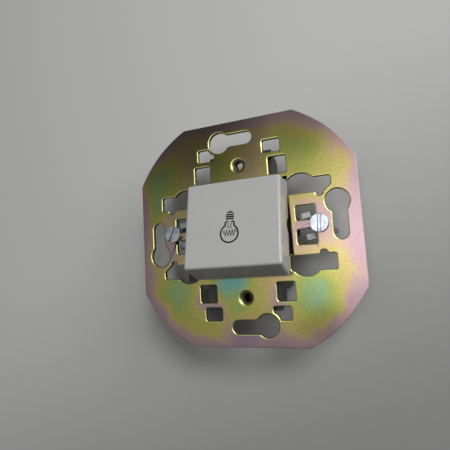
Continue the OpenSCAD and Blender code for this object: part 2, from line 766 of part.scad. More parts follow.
module housing_cover() {
    color("darkslategray") difference() {
        union() {
            cut_corner_block(body_w, body_l, body_corner, split_z, split_z + cover_flange_t);
            box([-body_w / 2, -cover_l / 2, split_z + cover_flange_t - bite],
                [body_w / 2, cover_l / 2, cover_seat_z]);
            box([-cover_w / 2, -tongue_half_b + run_gap, split_z + cover_flange_t - bite],
                [cover_w / 2, tongue_half_b - run_gap, cover_seat_z]);
            box([-deck_w / 2, -deck_l / 2, cover_seat_z - bite], [deck_w / 2, deck_l / 2, cover_top]);
            box([-9, opening_top + 0.1, split_z + cover_flange_t - bite], [9, collar_clear_y, -seat_gap]);
            box([-9, -collar_clear_y, split_z + cover_flange_t - bite],
                [9, -opening_foot - 0.3, -seat_gap]);
            box([-lug_x, -lug_y, -0.3 - lug_t], [-body_w / 2 + 1, -lug_y + lug_l, -0.3]);
            ear();
            on_left() ear();
            shoulders();
            window_nib();
            on_left() window_nib();
        }
        translate([0, 0, pivot_z]) cross_cylinder(pin_r + pin_gap, 4 * ear_out);
        translate([0, -plunger_y, split_z - 1]) cylinder(r = plunger_r + pin_gap, h = base_h + 2);
        translate([0, return_spring_y, return_pocket_z])
            cylinder(r = return_spring_r + 0.25, h = -return_pocket_z + 2);
        box([-chamber_x + 1, -chamber_y, split_z - 1],
            [chamber_x - 1, ridge_y + lever_tail + 0.8, split_z + 2]);
        for (side = [-1, 1])
            translate([side * housing_screw_x, -side * housing_screw_y, split_z - 1])
                cylinder(r = housing_screw_r + seat_gap, h = pilot_top - split_z + 1);
    }
}

// The pocket of a wire clamp at the upper end of the base, with its wire entries and screw hole
module terminal_pocket() {
    box([-clamp_w / 2 - run_gap, terminal_y - clamp_l / 2 - run_gap, floor_z],
        [clamp_w / 2 + run_gap, end_y - end_wall, split_z + 1]);
    box([-lever_w / 2 - 0.1, chamber_y - 1, bar_z - seat_gap],
        [lever_w / 2 + 0.1, terminal_y, split_z + 1]);
    for (sx = [-1, 1])
        translate([sx * wire_pitch / 2, end_y + 1, bar_top + wire_r + 0.05]) rotate([90, 0, 0])
            cylinder(r = wire_r, h = end_wall + 2);
    translate([0, terminal_y, back_z - 1]) cylinder(r = terminal_head_r - 0.4, h = floor_t + 2);
}

module housing_base() {
    color("darkslategray") {
        difference() {
            cut_corner_block(body_w, body_l, body_corner, back_z, split_z);
            box([-chamber_x, -chamber_y, floor_z], [chamber_x, chamber_y, split_z + 1]);
            terminal_pocket();
            on_left() terminal_pocket();
            for (side = [-1, 1])
                translate([side * housing_screw_x, -side * housing_screw_y, back_z - 1]) {
                    cylinder(r = housing_screw_r + 0.1, h = base_h + 2);
                    cylinder(r = housing_screw_head + 0.2, h = housing_screw_sink + 1);
                }
        }
        translate([0, contact_spring_y, floor_z - bite]) difference() {
            cylinder(r = cup_r, h = 1.6);
            cylinder(r = contact_spring_r + 0.15, h = 3);
        }
    }
}

// Two screws that hold base and cover together
module housing_screws() {
    color("silver") for (side = [-1, 1])
        translate([side * housing_screw_x, -side * housing_screw_y, back_z + 0.2]) difference() {
            union() {
                cylinder(r = housing_screw_head, h = housing_screw_sink - 0.2);
                cylinder(r = housing_screw_r, h = housing_screw_l);
            }
            screw_slot(housing_screw_head, -1, 0.6);
        }
}

// A wire clamp: a frame around the bus bar with the screw's thread in its lower wall
module wire_clamp() {
    top = bar_top + 2 * wire_r + 0.3 + clamp_wall;
    foot = bar_z - 0.2 - clamp_nut_t;
    half = clamp_l / 2;
    difference() {
        box([-clamp_w / 2, terminal_y - half, foot], [clamp_w / 2, terminal_y + half, top]);
        box([-clamp_w / 2 + clamp_wall, terminal_y - half - 1, foot + clamp_nut_t],
            [clamp_w / 2 - clamp_wall, terminal_y + half + 1, top - clamp_wall]);
        translate([0, terminal_y, foot - 1]) cylinder(r = terminal_r + 0.06, h = clamp_nut_t + 2);
    }
}

module upper_wire_clamp() {
    color("lightgray") wire_clamp();
}

module lower_wire_clamp() {
    color("lightgray") on_left() wire_clamp();
}

// A terminal screw with its slotted head over the floor's hole and its tip under the bus bar
module terminal_screw() {
    translate([0, terminal_y, terminal_head_z]) difference() {
        union() {
            cylinder(r = terminal_head_r, h = terminal_head_h);
            cylinder(r = terminal_r, h = bar_z - terminal_head_z - touch);
        }
        screw_slot(terminal_head_r, -1, 0.7);
    }
}

module upper_terminal_screw() {
    color("silver") terminal_screw();
}

module lower_terminal_screw() {
    color("silver") on_left() terminal_screw();
}

// Turns the loose right claw and its nut about the screw
module claw_turned() {
    translate([claw_screw_x, 0, 0]) rotate([0, 0, claw_turn])
        translate([-claw_screw_x, 0, 0]) children();
}

// The side outline of a claw, from its prongs down the slope to its toothed foot
module claw_outline() {
    slant = claw_t / cos(claw_slope);
    rise = prong_top - claw_pivot_z;
    x0 = claw_pivot_x - rise * tan(claw_slope);
    foot = -claw_depth;
    tip = prong_top - claw_t;
    polygon([[x0, prong_top], [x0 + prong_tip, prong_top], [x0 + prong_tip, tip],
        [x0 + slant + claw_t * tan(claw_slope), tip],
        [claw_leg_x + claw_t, claw_bend_z + claw_t * tan(claw_slope / 2)],
        [claw_leg_x + claw_t, foot + 1.8], [claw_leg_x + claw_t + tooth_reach, foot + 0.5],
        [claw_leg_x + claw_t + tooth_reach, foot], [claw_leg_x, foot], [claw_leg_x, claw_bend_z]]);
}

// A claw: two prongs that stand in the tongue's holes, a slot for the screw, and a toothed foot
module claw() {
    difference() {
        rotate([90, 0, 0]) linear_extrude(claw_w, center = true) claw_outline();
        box([0, -prong_gap, claw_bend_z - 0.8], [plate_w, prong_gap, plate_t + 1]);
        box([claw_leg_x + claw_t, -claw_w, -claw_depth - 1],
            [plate_w, tooth_y - tooth_w / 2, -claw_depth + 3]);
        box([claw_leg_x + claw_t, tooth_y + tooth_w / 2, -claw_depth - 1],
            [plate_w, claw_w, -claw_depth + 3]);
    }
}

module right_claw() {
    color("gainsboro") claw_turned() claw();
}

module left_claw() {
    color("gainsboro") on_left() translate([0, -screw_play, 0]) claw();
}

// A square nut that the claw screw lifts between the claw's legs
module claw_nut() {
    translate([claw_screw_x, 0, nut_top - nut_h]) difference() {
        box([-nut_in, -nut_l / 2, 0], [nut_out, nut_l / 2, nut_h]);
        translate([0, 0, -1]) cylinder(r = claw_shank_r + 0.06, h = nut_h + 2);
    }
}

module right_claw_nut() {
    color("silver") claw_turned() claw_nut();
}

module left_claw_nut() {
    color("silver") on_left() translate([0, -2 * screw_play, 0]) claw_nut();
}

// A claw screw with its slotted head on the front of the plate
module claw_screw(slot_turn) {
    translate([claw_screw_x, 0, plate_t + touch / 2]) rotate([0, 0, slot_turn]) difference() {
        union() {
            cylinder(r = claw_head_r, h = claw_head_h);
            translate([0, 0, -plate_t - claw_screw_end])
                cylinder(r = claw_shank_r, h = plate_t + claw_screw_end + bite);
        }
        screw_slot(claw_head_r, claw_head_h - slot_depth, claw_head_h + 1);
    }
}

module right_claw_screw() {
    color("whitesmoke") claw_screw(right_slot_turn);
}

module left_claw_screw() {
    color("whitesmoke") on_left() translate([0, -2 * screw_play, 0]) claw_screw(left_slot_turn);
}

mounting_plate();
key_cap();
lamp_symbol();
key_carrier();
pivot_pin();
return_spring();
plunger();
contact_lever();
moving_contact();
fixed_contact();
fixed_terminal_bar();
common_terminal_bar();
contact_spring();
housing_cover();
housing_base();
housing_screws();
upper_wire_clamp();
lower_wire_clamp();
upper_terminal_screw();
lower_terminal_screw();
right_claw();
left_claw();
right_claw_nut();
left_claw_nut();
right_claw_screw();
left_claw_screw();
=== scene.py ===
"""Dresses the push button light switch: finishes, soft edges, wound wires and the studio."""

import logging
import math
from dataclasses import dataclass, field
from enum import Enum
from typing import Any, Sequence

import bmesh
import bpy
from mathutils import Matrix, Vector


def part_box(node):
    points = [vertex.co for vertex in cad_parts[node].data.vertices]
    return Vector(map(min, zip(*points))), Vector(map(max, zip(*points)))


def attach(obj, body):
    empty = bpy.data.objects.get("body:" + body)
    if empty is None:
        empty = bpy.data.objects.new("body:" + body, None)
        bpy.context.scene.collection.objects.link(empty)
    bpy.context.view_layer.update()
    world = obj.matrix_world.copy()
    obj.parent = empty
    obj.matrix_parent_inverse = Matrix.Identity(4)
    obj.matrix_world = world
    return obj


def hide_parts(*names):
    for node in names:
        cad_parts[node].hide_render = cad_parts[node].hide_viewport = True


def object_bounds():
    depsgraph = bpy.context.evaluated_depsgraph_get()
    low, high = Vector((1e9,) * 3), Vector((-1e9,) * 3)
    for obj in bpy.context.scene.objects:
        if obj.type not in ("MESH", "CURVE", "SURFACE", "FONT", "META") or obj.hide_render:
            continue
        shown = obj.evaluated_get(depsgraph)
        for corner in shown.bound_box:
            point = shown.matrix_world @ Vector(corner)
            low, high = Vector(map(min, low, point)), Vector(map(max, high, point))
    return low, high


MM = 0.001
Colour = tuple[float, float, float]
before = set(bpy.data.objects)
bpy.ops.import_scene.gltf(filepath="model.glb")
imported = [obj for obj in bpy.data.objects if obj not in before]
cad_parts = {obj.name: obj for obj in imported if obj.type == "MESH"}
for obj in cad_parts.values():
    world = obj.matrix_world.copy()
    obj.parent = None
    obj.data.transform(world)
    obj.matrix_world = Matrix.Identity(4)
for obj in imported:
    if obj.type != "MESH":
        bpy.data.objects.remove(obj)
solid_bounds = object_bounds()
log = logging.getLogger("light_switch")


class Side(Enum):
    """The two halves of the switch, by the sign of X."""

    RIGHT = 1
    LEFT = -1


class Profile(Enum):
    """Cross-sections of a wound wire, by their number of sides."""

    ROUND_WIRE = 10
    THREAD_RIDGE = 3


class Wire:
    """A node's output socket, on which arithmetic adds Math nodes to its tree."""

    def __init__(self, tree: "NodeTree", socket: bpy.types.NodeSocket) -> None:
        """Keep the tree and the socket.

        Args:
            tree: The tree that the socket's node stands in.
            socket: The output socket.
        """
        self.tree = tree
        self.socket = socket

    def math(
        self, operation: str, *values: "Wire | float", first: "Wire | float | None" = None
    ) -> "Wire":
        """Add a Math node.

        Args:
            operation: The Math node's operation.
            values: The operands after this one.
            first: An operand that stands before this one, for the reflected operators.

        Returns:
            The result.
        """
        operands = [self, *values] if first is None else [first, self]
        return self.tree.add("ShaderNodeMath", {"operation": operation}, dict(enumerate(operands)))

    def __add__(self, other: "Wire | float") -> "Wire":
        """Return the sum."""
        return self.math("ADD", other)

    def __radd__(self, other: float) -> "Wire":
        """Return the sum with a number on the left."""
        return self.math("ADD", other)

    def __sub__(self, other: "Wire | float") -> "Wire":
        """Return the difference."""
        return self.math("SUBTRACT", other)

    def __rsub__(self, other: float) -> "Wire":
        """Return a number less this."""
        return self.math("SUBTRACT", first=other)

    def __mul__(self, other: "Wire | float") -> "Wire":
        """Return the product."""
        return self.math("MULTIPLY", other)

    def __rmul__(self, other: float) -> "Wire":
        """Return the product with a number on the left."""
        return self.math("MULTIPLY", other)

    def __truediv__(self, other: "Wire | float") -> "Wire":
        """Return the quotient."""
        return self.math("DIVIDE", other)

    def step(self, low: float, high: float) -> "Wire":
        """Return a smooth step from 0 at low to 1 at high."""
        values = {"Value": self, "From Min": low, "From Max": high}
        return self.tree.add("ShaderNodeMapRange", {"interpolation_type": "SMOOTHSTEP"}, values)


class NodeTree:
    """A shader or geometry node tree that is written as expressions."""

    def __init__(self, nodes: bpy.types.NodeTree) -> None:
        """Wrap an existing tree.

        Args:
            nodes: The tree to add to.
        """
        self.nodes = nodes

    def add(
        self,
        kind: str,
        settings: dict[str, Any] | None = None,
        values: dict[str | int, Any] | None = None,
        output: str | int = 0,
    ) -> Wire:
        """Add any node.

        Args:
            kind: The node's type.
            settings: Its properties, set first. A ramp's stops go under "stops".
            values: Values or links of its input sockets, by name or number.
            output: The output socket that is wanted.

        Returns:
            That output socket.
        """
        node = self.nodes.nodes.new(kind)
        for name, value in (settings or {}).items():
            if name == "stops":
                self.set_stops(node.color_ramp, value)
            else:
                setattr(node, name, value)
        for name, value in (values or {}).items():
            socket = node.inputs[name]
            if isinstance(value, Wire):
                self.nodes.links.new(value.socket, socket)
            else:
                socket.default_value = value
        sockets = [s for s in node.outputs if s.enabled]
        if isinstance(output, str):
            sockets = [s for s in sockets if s.name == output]
            output = 0
        return Wire(self, sockets[output]) if sockets else Wire(self, None)

    @staticmethod
    def set_stops(ramp: bpy.types.ColorRamp, stops: Sequence[tuple[float, Colour]]) -> None:
        """Give a colour ramp its stops.

        Args:
            ramp: The ramp.
            stops: Position and colour of each stop, in rising order.
        """
        while len(ramp.elements) < len(stops):
            ramp.elements.new(1.0)
        for element, (position, colour) in zip(ramp.elements, stops):
            element.position = position
            element.color = (*colour, 1.0)

    def mix(self, factor: Wire | float, first: Any, second: Any) -> Wire:
        """Mix two colours.

        Args:
            factor: Share of the second colour.
            first: A colour or a link.
            second: A colour or a link.

        Returns:
            The mixed colour.
        """
        rgba = [c if isinstance(c, Wire) else (*c, 1.0) for c in (first, second)]
        values = {"Factor": factor, 6: rgba[0], 7: rgba[1]}
        return self.add("ShaderNodeMix", {"data_type": "RGBA"}, values)

    def vector(self, operation: str, *operands: Any, output: str = "Vector") -> Wire:
        """Add a Vector Math node.

        Args:
            operation: Its operation.
            operands: Its vectors.
            output: The output that is wanted.

        Returns:
            That output.
        """
        values = dict(enumerate(operands))
        return self.add("ShaderNodeVectorMath", {"operation": operation}, values, output)

    def noise(self, place: Wire, size: float, detail: float, roughness: float = 0.5) -> Wire:
        """Add a noise of a given grain.

        Args:
            place: Coordinates in metres.
            size: Grain in metres.
            detail: Octaves.
            roughness: Strength of the finer octaves.

        Returns:
            Values around one half.
        """
        values = {"Vector": place, "Scale": 1 / size, "Detail": detail, "Roughness": roughness}
        return self.add("ShaderNodeTexNoise", {}, values, "Fac")


class Finish:
    """A material made of nodes, with one Principled shader."""

    name = "finish"

    def begin(self) -> tuple[bpy.types.Material, NodeTree, Wire]:
        """Start an empty material.

        Returns:
            The material, its tree, and the piece's own coordinates.
        """
        material = bpy.data.materials.new(self.name)
        material.use_nodes = True
        material.node_tree.nodes.clear()
        tree = NodeTree(material.node_tree)
        place = tree.add("ShaderNodeTexCoord", output="Object")
        return material, tree, place

    def close(
        self,
        tree: NodeTree,
        values: dict[str, Any],
        height: Wire | None = None,
        depth: float = 0.0,
    ) -> None:
        """Add the shader, an optional bump and the output.

        Args:
            tree: The material's tree.
            values: The shader's sockets.
            height: Relief between 0 and 1.
            depth: Depth of the relief in metres.
        """
        if height is not None:
            bump = {"Height": height, "Distance": depth, "Strength": 1.0}
            values = {**values, "Normal": tree.add("ShaderNodeBump", {}, bump)}
        shader = tree.add("ShaderNodeBsdfPrincipled", {}, values)
        tree.add("ShaderNodeOutputMaterial", {}, {"Surface": shader})

    def make(self) -> bpy.types.Material:
        """Build the material."""
        raise NotImplementedError


@dataclass(frozen=True)
class Cloud:
    """A cloud on the plate: its middle and reach in millimetres, and the value it brings."""

    x: float
    y: float
    reach: float
    value: float


@dataclass(frozen=True)
class YellowChromate(Finish):
    """Iridescent yellow chromate over zinc, as it lies in clouds on the support plate."""

    name: str = "yellow_chromate_zinc"
    plain_film: float = 0.36
    rim_film: float = 0.14
    half_width: float = 36 * MM
    corner_radius: float = 40.5 * MM
    rim: float = 4.5 * MM
    drift: float = 9 * MM
    wander_grain: float = 12 * MM
    cloud_grain: float = 9 * MM
    cloud_depth: float = 0.22
    cloud_core: float = 0.15
    grain: float = 0.26 * MM
    grain_depth: float = 0.30
    rim_share: float = 0.8
    speck_share: float = 0.45
    speck_colour: Colour = (0.26, 0.21, 0.12)
    # Where the folded tongue is left out of the painted shade on the hole sides.
    tongue_x: float = 17.0 * MM
    tongue_y: float = 9.6 * MM
    tongue_fade: float = 0.4 * MM
    # Where the tapped holes are painted dark inside, as painted shade.
    tapped_hole_y: float = 21.1 * MM
    tapped_hole_r: float = 2.1 * MM
    tapped_hole_fade: float = 0.2 * MM
    # Painted shade: the hole sides and the tapped holes are made less metallic, so that they stay
    # dark as if in shadow.
    painted_shade_dullness: float = 0.6
    bump_depth: float = 0.012 * MM
    # Painted highlight: a bright yellow-green on the drawn edges, where light glints off the
    # rounded outlines.
    painted_highlight_colour: Colour = (0.80, 0.84, 0.30)
    # Painted shade: the dark colour of the hole sides and the tapped holes, as if in shadow.
    painted_shade_wall_colour: Colour = (0.13, 0.12, 0.05)
    # Painted shade: dark clouds towards the top, the top left and the lower right, where the plate
    # mirrors a dark room.
    painted_shade_colour: Colour = (0.055, 0.05, 0.02)
    painted_shade_clouds: tuple[Cloud, ...] = (
        Cloud(22, 30, 14, 0.28),
        Cloud(24, -29, 10, 0.35),
        Cloud(-10, 32, 30, 0.55),
    )
    colours: tuple[tuple[float, Colour], ...] = (
        (0.00, (0.34, 0.26, 0.36)),
        (0.14, (0.44, 0.30, 0.36)),
        (0.28, (0.52, 0.36, 0.32)),
        (0.38, (0.56, 0.45, 0.18)),
        (0.50, (0.50, 0.48, 0.11)),
        (0.64, (0.37, 0.46, 0.13)),
        (0.82, (0.26, 0.46, 0.29)),
        (1.00, (0.15, 0.44, 0.42)),
    )
    clouds: tuple[Cloud, ...] = (
        Cloud(21, 21, 19, 0.52),
        Cloud(20, 23, 9, 0.60),
        Cloud(32, 22, 8, 0.34),
        Cloud(6, 31, 11, 0.36),
        Cloud(3, 22, 8, 0.36),
        Cloud(-7, 21, 9, 0.56),
        Cloud(-18, 34, 13, 0.34),
        Cloud(-29, 21, 12, 0.74),
        Cloud(-32, 13, 9, 0.70),
        Cloud(-35, 3, 6, 0.26),
        Cloud(-34, -6, 7, 0.46),
        Cloud(-26, -3, 8, 0.20),
        Cloud(-24, -21, 15, 0.60),
        Cloud(-25, -19, 8, 0.72),
        Cloud(-32, -25, 8, 0.18),
        Cloud(-12, -22, 8, 0.14),
        Cloud(-5, -16, 10, 1.00),
        Cloud(-2, -24, 10, 0.66),
        Cloud(6, -19, 6, 0.46),
        Cloud(10, -21, 6, 0.20),
        Cloud(0, -34, 11, 0.06),
        Cloud(-15, -30, 7, 0.50),
        Cloud(24, -24, 15, 0.50),
        Cloud(21, -20, 9, 0.74),
        Cloud(34, -20, 7, 0.22),
        Cloud(29, -12, 5, 0.42),
        Cloud(33, 1, 12, 0.18),
        Cloud(22, 0, 10, 0.18),
        Cloud(16, 1, 3.5, 0.40),
    )

    def spot(self, tree: NodeTree, place: Wire) -> Wire:
        """Let the plate's coordinates wander a little, so that clouds get uneven edges.

        Args:
            tree: The material's tree.
            place: The plate's own coordinates.

        Returns:
            The wandering coordinates on the plate's face.
        """
        values = {"Vector": place, "Scale": 1 / self.wander_grain}
        wander = tree.add("ShaderNodeTexNoise", {}, values, "Color")
        wander = tree.vector("SUBTRACT", wander, (0.5, 0.5, 0.5))
        wander = tree.vector("MULTIPLY", wander, (self.drift, self.drift, 0.0))
        spot = tree.vector("ADD", place, wander)
        return tree.vector("MULTIPLY", spot, (1.0, 1.0, 0.0))

    def lay(self, tree: NodeTree, spot: Wire, ground: float, clouds: Sequence[Cloud]) -> Wire:
        """Lay clouds over an even ground, one after the other.

        Args:
            tree: The material's tree.
            spot: Coordinates on the plate's face.
            ground: The value where there is no cloud.
            clouds: The clouds.

        Returns:
            The value over the plate.
        """
        value: Wire | float = ground
        for cloud in clouds:
            middle = (cloud.x * MM, cloud.y * MM, 0.0)
            away = tree.vector("DISTANCE", spot, middle, output="Value")
            share = away.step(cloud.reach * MM, self.cloud_core * cloud.reach * MM)
            value = value + (cloud.value - value) * share
        return value

    def axes(self, tree: NodeTree, spot: Wire) -> tuple[Wire, Wire]:
        """Return the distances to the two centre lines.

        Args:
            tree: The material's tree.
            spot: Coordinates on the plate's face.

        Returns:
            The distances sideways and up or down.
        """
        values = (tree.add("ShaderNodeSeparateXYZ", {}, {"Vector": spot}, axis) for axis in "XY")
        across, up = (value.math("ABSOLUTE") for value in values)
        return across, up

    def near_rim(self, tree: NodeTree, spot: Wire) -> Wire:
        """Find the plate's outer rim.

        Args:
            tree: The material's tree.
            spot: Coordinates on the plate's face.

        Returns:
            1 at the rim, falling to 0 further in.
        """
        across, up = self.axes(tree, spot)
        flats = across.math("MAXIMUM", up) - self.half_width
        corners = tree.vector("LENGTH", spot, output="Value") - self.corner_radius
        return flats.math("MAXIMUM", corners).step(-self.rim, 0.0)

    def make(self) -> bpy.types.Material:
        """Build the material.

        Returns:
            A metal whose film runs through its colours from cloud to cloud, with painted shade in
            dark clouds, on the hole sides and in the tapped holes, and a painted highlight on the
            drawn edges.
        """
        material, tree, place = self.begin()
        spot = self.spot(tree, place)
        film = self.lay(tree, spot, self.plain_film, self.clouds)
        film = film + (self.rim_film - film) * (self.rim_share * self.near_rim(tree, spot))
        uneven = tree.noise(place, self.cloud_grain, 4.0, 0.55)
        film = film + self.cloud_depth * (uneven - 0.5)
        grain = tree.noise(place, self.grain, 2.0, 0.6)
        film = film + self.grain_depth * (grain - 0.5)
        colour = tree.add("ShaderNodeValToRGB", {"stops": self.colours}, {"Fac": film}, "Color")
        speck = tree.noise(place, 1.3 * self.grain, 2.0)
        specks = self.speck_share * speck.step(0.42, 0.72)
        colour = tree.mix(specks, colour, self.speck_colour)
        # Painted shade: the dark clouds darken the film's colour where the plate mirrors a dark
        # room.
        dull = self.lay(tree, spot, 0.0, self.painted_shade_clouds)
        colour = tree.mix(dull, colour, self.painted_shade_colour)
        facing = tree.add("ShaderNodeTexCoord", output="Normal")
        upright = tree.add("ShaderNodeSeparateXYZ", {}, {"Vector": facing}, "Z").math("ABSOLUTE")
        # Painted highlight: the drawn edges of the plate get a bright colour.
        edge = tree.add("ShaderNodeAttribute", {"attribute_name": "edge"}, output="Fac")
        colour = tree.mix(edge.step(0.05, 0.6), colour, self.painted_highlight_colour)
        across, up = self.axes(tree, place)
        beside = across.step(self.tongue_x, self.tongue_x - self.tongue_fade)
        tongue = beside * up.step(self.tongue_y, self.tongue_y - self.tongue_fade)
        # Painted shade: the sides of the punched holes, except at the folded tongue, and the
        # insides of the tapped holes are painted dark and less metallic, as if in shadow.
        painted_wall_shade = upright.step(0.86, 0.70) * (1.0 - tongue)
        off_hole = up - self.tapped_hole_y
        away = (across * across + off_hole * off_hole).math("SQRT")
        inner_r = self.tapped_hole_r - self.tapped_hole_fade
        painted_wall_shade = painted_wall_shade.math("MAXIMUM", away.step(self.tapped_hole_r, inner_r))
        values = {
            "Base Color": tree.mix(painted_wall_shade, colour, self.painted_shade_wall_colour),
            "Metallic": 1.0 - self.painted_shade_dullness * painted_wall_shade,
            "Roughness": 0.27 + 0.14 * grain,
        }
        self.close(tree, values, grain, self.bump_depth)
        return material


@dataclass(frozen=True)
class Moulding(Finish):
    """A moulded plastic with a fine spark-eroded grain."""

    name: str = "moulded_plastic"
    colour: Colour = (0.66, 0.65, 0.63)
    roughness: float = 0.36
    grain: float = 0.25 * MM
    shade_grain: float = 9 * MM
    shade_share: float = 0.93
    bump_depth: float = 0.004 * MM

    def make(self) -> bpy.types.Material:
        """Build the material.

        Returns:
            A plastic with faint clouds in its colour.
        """
        material, tree, place = self.begin()
        shade = tree.noise(place, self.shade_grain, 2.0)
        darker = tuple(self.shade_share * c for c in self.colour)
        grain = tree.noise(place, self.grain, 1.0)
        values = {
            "Base Color": tree.mix(shade, self.colour, darker),
            "Roughness": self.roughness + 0.1 * grain,
        }
        self.close(tree, values, grain, self.bump_depth)
        return material


@dataclass(frozen=True)
class PlatedMetal(Finish):
    """A plated or bare metal with faint stains."""

    name: str = "plated_metal"
    colour: Colour = (0.66, 0.69, 0.74)
    stain: Colour = (0.42, 0.45, 0.52)
    roughness: float = 0.28
    grain: float = 0.6 * MM
    stain_grain: float = 2.5 * MM
    bump_depth: float = 0.008 * MM

    def make(self) -> bpy.types.Material:
        """Build the material.

        Returns:
            A metal with stains in its colour and its gloss.
        """
        material, tree, place = self.begin()
        stains = tree.noise(place, self.stain_grain, 3.0)
        grain = tree.noise(place, self.grain, 2.0)
        values = {
            "Base Color": tree.mix(stains.step(0.42, 0.72), self.colour, self.stain),
            "Metallic": 1.0,
            "Roughness": self.roughness + 0.16 * stains,
        }
        self.close(tree, values, grain, self.bump_depth)
        return material


@dataclass(frozen=True)
class Ink(Finish):
    """Black printing ink."""

    name: str = "printing_ink"
    colour: Colour = (0.018, 0.018, 0.02)
    thin_colour: Colour = (0.035, 0.035, 0.035)
    patch_grain: float = 0.7 * MM

    def make(self) -> bpy.types.Material:
        """Build the material.

        Returns:
            A dark coat, a little uneven.
        """
        material, tree, place = self.begin()
        patchy = tree.noise(place, self.patch_grain, 2.0)
        values = {
            "Base Color": tree.mix(patchy, self.colour, self.thin_colour),
            "Roughness": 0.45,
        }
        self.close(tree, values)
        return material


@dataclass(frozen=True)
class TableTop(Finish):
    """The pale grey table, with painted shade that darkens it away from the windows, and a fine
    speckle.
    """

    name: str = "pale_table"
    colour: Colour = (0.78, 0.78, 0.77)
    # Painted shade: the table darkens towards the lower right, standing in for light that falls
    # off away from the windows.
    painted_shaded_colour: Colour = (0.36, 0.36, 0.355)
    painted_shading_way: tuple[float, float, float] = (-0.5, 0.8, 0.0)
    painted_shading_start: float = -95 * MM
    painted_shading_end: float = 55 * MM
    speckle_grain: float = 0.5 * MM
    speckle_share: float = 0.07

    def make(self) -> bpy.types.Material:
        """Build the material.

        Returns:
            A dull surface that turns from a painted shaded grey to a pale grey.
        """
        material, tree, place = self.begin()
        # Painted shade: darker towards the lower right.
        along = tree.vector("DOT_PRODUCT", place, self.painted_shading_way, output="Value")
        lit = along.step(self.painted_shading_start, self.painted_shading_end)
        pale = tree.mix(lit, self.painted_shaded_colour, self.colour)
        speckle = tree.noise(place, self.speckle_grain, 2.0)
        values = {
            "Base Color": tree.mix(self.speckle_share * speckle, pale, (0.0, 0.0, 0.0)),
            "Roughness": 0.6,
        }
        self.close(tree, values)
        return material


@dataclass
class Workshop:
    """Shared bench work: merged copies of solids, soft edges and plain meshes."""

    finishes: dict[str, bpy.types.Material] = field(default_factory=dict)
    merge_distance: float = 0.0005 * MM
    flat_angle: float = math.radians(0.5)
    sharp_angle: float = math.radians(35)

    def finish(self, finish: Finish) -> bpy.types.Material:
        """Return a finish's material, made once."""
        if finish.name not in self.finishes:
            self.finishes[finish.name] = finish.make()
        return self.finishes[finish.name]

    def dress(self, node: str, finish: Finish) -> None:
        """Give a solid that shows as it is its finish.

        Args:
            node: The solid's name.
            finish: Its finish.
        """
        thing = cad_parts[node]
        material = self.finish(finish)
        if not thing.material_slots:
            thing.data.materials.append(material)
        for place in thing.material_slots:
            place.material = material
        log.info("%s dressed in %s", node, finish.name)

    def plain(self, thing: bpy.types.Object, name: str) -> bpy.types.Object:
        """Turn an object with modifiers into a plain mesh object.

        Args:
            thing: The object, which is removed.
            name: Name of the new object.

        Returns:
            The new object.
        """
        bpy.context.view_layer.update()
        graph = bpy.context.evaluated_depsgraph_get()
        mesh = bpy.data.meshes.new_from_object(thing.evaluated_get(graph), depsgraph=graph)
        bpy.data.objects.remove(thing)
        piece = bpy.data.objects.new(name, mesh)
        bpy.context.collection.objects.link(piece)
        return piece

    def merged_copy(self, node: str, name: str) -> bpy.types.Object:
        """Copy a solid, with its doubles merged and its flat faces made whole.

        Args:
            node: The solid's name.
            name: Name of the copy.

        Returns:
            The copy, in the row frame.
        """
        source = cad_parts[node]
        shape = bmesh.new()
        shape.from_mesh(source.data)
        bmesh.ops.transform(shape, matrix=source.matrix_world, verts=shape.verts)
        bmesh.ops.remove_doubles(shape, verts=shape.verts, dist=self.merge_distance)
        bmesh.ops.dissolve_limit(
            shape, angle_limit=self.flat_angle, verts=shape.verts, edges=shape.edges
        )
        mesh = bpy.data.meshes.new(name)
        shape.to_mesh(mesh)
        shape.free()
        piece = bpy.data.objects.new(name, mesh)
        bpy.context.collection.objects.link(piece)
        return piece

    def soften(self, node: str, name: str, width: float, finish: Finish, body: str) -> None:
        """Replace a solid by a copy whose sharp edges are broken.

        Args:
            node: The solid's name.
            name: Name of the piece that stands for it.
            width: Width of the broken edge in metres.
            finish: Its finish.
            body: The body that it rides on.
        """
        piece = self.merged_copy(node, name)
        self.break_edges(piece, node, width, finish, body)

    def break_edges(
        self, piece: bpy.types.Object, node: str, width: float, finish: Finish, body: str
    ) -> None:
        """Break the sharp edges of a merged copy and place it.

        Args:
            piece: The merged copy.
            node: The solid's name.
            width: Width of the broken edge in metres.
            finish: Its finish.
            body: The body that it rides on.
        """
        name = piece.name
        bevel = piece.modifiers.new("broken_edges", "BEVEL")
        bevel.width = width
        bevel.segments = 2
        bevel.limit_method = "ANGLE"
        bevel.angle_limit = self.sharp_angle
        bevel.use_clamp_overlap = True
        piece.data.shade_smooth()
        level = piece.modifiers.new("level_normals", "WEIGHTED_NORMAL")
        level.mode = "FACE_AREA"
        level.weight = 100
        level.keep_sharp = False
        piece = self.plain(piece, name)
        piece.data.materials.clear()
        piece.data.materials.append(self.finish(finish))
        self.place(piece, body, [node])

    def place(
        self, piece: bpy.types.Object, body: str, replaced: Sequence[str], slot: str = ""
    ) -> None:
        """Hand a finished piece over to its body.

        Args:
            piece: The piece.
            body: The body that it rides on.
            replaced: Solids that it stands for.
            slot: Not used.
        """
        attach(piece, body)
        if replaced:
            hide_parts(*replaced)
        log.info("%s on %s: %d faces", piece.name, body, len(piece.data.polygons))


